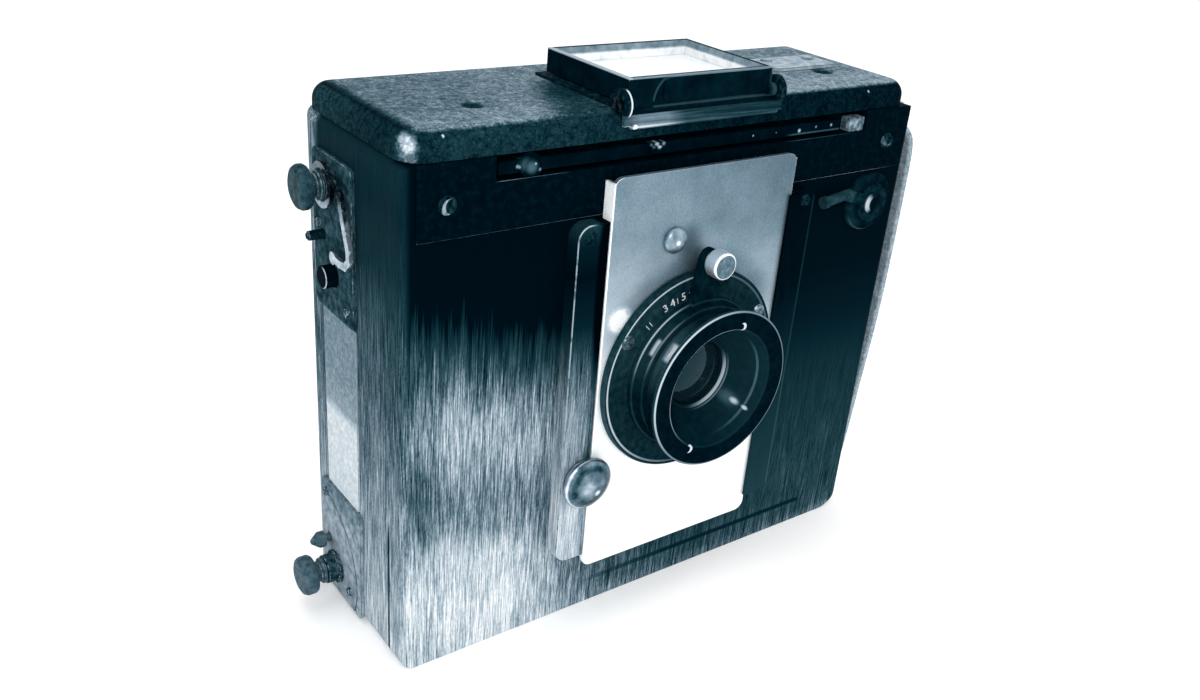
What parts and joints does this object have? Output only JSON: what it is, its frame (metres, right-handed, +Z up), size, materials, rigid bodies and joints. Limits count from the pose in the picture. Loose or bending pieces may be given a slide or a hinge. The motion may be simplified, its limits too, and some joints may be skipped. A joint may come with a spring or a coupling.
{
  "type": "plate camera with roller-blind shutter",
  "caption": "Rigid wide-angle plate camera: roller-blind shutter in the case, rising lens board, focusing lens, hinged lid with folding finder, sliding focusing back, side hand strap.",
  "frame": {"origin": "mouth of the tripod socket, in the middle of the case's underside", "axes": "+X to the right seen from the front, +Y to the back (the lens looks along -Y), +Z up"},
  "size_m": [0.1944, 0.0773, 0.1575],
  "materials": {
    "case_wood": "black lacquer over vertical grain, worn",
    "black_metal": "satin black enamel",
    "dull_metal": "worn blackened brass",
    "inlay_metal": "dull",
    "knob_metal": "black enamel, worn at the rim",
    "steel": "polished",
    "inner_black": "matt black",
    "curtain_cloth": "rubberised cloth",
    "brass": "satin",
    "lens_black": "gloss black lacquer, bright at the edges",
    "board_silver": "satin, slightly scratched",
    "lens_glass": "polished",
    "milk_glass": "fine ground",
    "strap_leather": "light grained side out, worn",
    "lid_leather": "fine grain",
    "roller_wood": "turned, oiled",
    "back_wood": "dark polished"
  },
  "bodies": {
    "case": {"body_shell": "case_wood", "front_case": "case_wood", "front_band": "black_metal", "front_screws": "steel", "rail_left": "black_metal", "rail_right": "black_metal", "side_plate_upper": "dull_metal", "side_inlay": "inlay_metal", "side_plate_lower": "dull_metal", "side_studs": "steel", "shaft_bushes": "steel", "light_chamber": "inner_black", "gate_frame": "inner_black", "shutter_curtain": "curtain_cloth", "back_rails": "black_metal", "case_hinge_leaf": "dull_metal", "hinge_pin": "steel", "tripod_socket": "brass", "latch_block": "inlay_metal", "shutter_dial": "lens_black", "hand_strap": "strap_leather", "strap_buttons": "steel"},
    "board": {"lens_board": "board_silver", "board_stop_knob": "board_silver", "lens_flange": "lens_black", "flange_screws": "dull_metal"},
    "focus": {"focus_ring": "lens_black", "focus_knob": "steel"},
    "barrel": {"lens_barrel": "lens_black", "front_ring": "lens_black", "front_glass": "lens_glass", "iris_blades": "dull_metal", "rear_glass": "lens_glass"},
    "aperture": {"aperture_ring": "lens_black"},
    "lock": {"board_lock_knob": "dull_metal"},
    "upper_shaft": {"upper_roller": "roller_wood", "wind_knob": "knob_metal", "wind_ratchet": "brass"},
    "lower_shaft": {"lower_roller": "roller_wood", "tension_knob": "knob_metal", "tension_ratchet": "brass"},
    "upper_pawl": {"wind_pawl": "steel"},
    "lower_pawl": {"tension_pawl": "steel"},
    "brake": {"brake_lever": "steel"},
    "release": {"release_button": "dull_metal"},
    "wind_stop": {"wind_stop_pin": "knob_metal"},
    "brake_setting": {"brake_pin": "knob_metal"},
    "dial": {"dial_lever": "dull_metal"},
    "lid": {"lid": "lid_leather", "lid_hinge_leaf": "dull_metal", "lid_catches": "steel", "lid_plate": "inlay_metal", "finder_base": "black_metal", "finder_pins": "steel"},
    "finder": {"finder_frame": "black_metal", "finder_glass": "milk_glass"},
    "latch": {"latch_bar": "dull_metal"},
    "back": {"focusing_frame": "back_wood", "ground_glass": "milk_glass", "glass_retainer": "brass"}
  },
  "joints": [
    {"name": "board_rise", "type": "slide", "parent": "case", "child": "board", "axis": [0, 0, 1], "range_m": [0, 0.01]},
    {"name": "board_lock_turn", "type": "hinge", "parent": "case", "child": "lock", "pos_m": [-0.0325, -0.032, 0.049], "axis": [0, 1, 0], "range_deg": [0, 90]},
    {"name": "focus_turn", "type": "hinge", "parent": "board", "child": "focus", "pos_m": [0.0015, -0.034, 0.0757], "axis": [0, 1, 0], "range_deg": [0, 80]},
    {"name": "focus_travel", "type": "slide", "parent": "board", "child": "barrel", "axis": [0, -1, 0], "range_m": [0, 0.00265]},
    {"name": "aperture_turn", "type": "hinge", "parent": "barrel", "child": "aperture", "pos_m": [0.0015, -0.042, 0.0757], "axis": [0, 1, 0], "range_deg": [0, 60]},
    {"name": "wind_turn", "type": "hinge", "parent": "case", "child": "upper_shaft", "pos_m": [-0.09, 0.0105, 0.1277], "axis": [1, 0, 0], "continuous": true},
    {"name": "tension_turn", "type": "hinge", "parent": "case", "child": "lower_shaft", "pos_m": [-0.09, 0.0125, 0.01], "axis": [1, 0, 0], "continuous": true},
    {"name": "wind_pawl_swing", "type": "hinge", "parent": "case", "child": "upper_pawl", "pos_m": [-0.0775, 0.00175, 0.13631], "axis": [-1, 0, 0], "range_deg": [-9, 3], "stiffness_Nm_per_rad": 0.005},
    {"name": "tension_pawl_swing", "type": "hinge", "parent": "case", "child": "lower_pawl", "pos_m": [-0.0775, 0.00625, 0.01615], "axis": [-1, 0, 0], "range_deg": [-9, 3], "stiffness_Nm_per_rad": 0.005},
    {"name": "brake_lever_swing", "type": "hinge", "parent": "case", "child": "brake", "pos_m": [-0.0876, 0.0105, 0.1277], "axis": [1, 0, 0], "range_deg": [-4, 8]},
    {"name": "release_press", "type": "slide", "parent": "case", "child": "release", "axis": [1, 0, 0], "range_m": [0, 0.0015], "stiffness_N_per_m": 200, "springref_m": -0.002},
    {"name": "wind_stop_press", "type": "slide", "parent": "case", "child": "wind_stop", "axis": [1, 0, 0], "range_m": [0, 0.0015], "stiffness_N_per_m": 200, "springref_m": -0.002},
    {"name": "brake_setting_press", "type": "slide", "parent": "case", "child": "brake_setting", "axis": [1, 0, 0], "range_m": [0, 0.0015], "stiffness_N_per_m": 200, "springref_m": -0.002},
    {"name": "dial_lever_swing", "type": "hinge", "parent": "case", "child": "dial", "pos_m": [0.07, -0.029, 0.1149], "axis": [0, 1, 0], "range_deg": [-15, 15]},
    {"name": "lid_open", "type": "hinge", "parent": "case", "child": "lid", "pos_m": [0, 0.0289, 0.143], "axis": [-1, 0, 0], "range_deg": [0, 100]},
    {"name": "finder_raise", "type": "hinge", "parent": "lid", "child": "finder", "pos_m": [0.001, -0.0254, 0.1515], "axis": [1, 0, 0], "range_deg": [0, 90]},
    {"name": "latch_slide", "type": "slide", "parent": "case", "child": "latch", "axis": [1, 0, 0], "range_m": [0, 0.004]},
    {"name": "back_slide", "type": "slide", "parent": "case", "child": "back", "axis": [1, 0, 0], "range_m": [0, 0.16]}
  ],
  "couplings": [
    {"joint": "focus_turn", "follows": "focus_travel", "rad_per_m": 526.3}
  ]
}
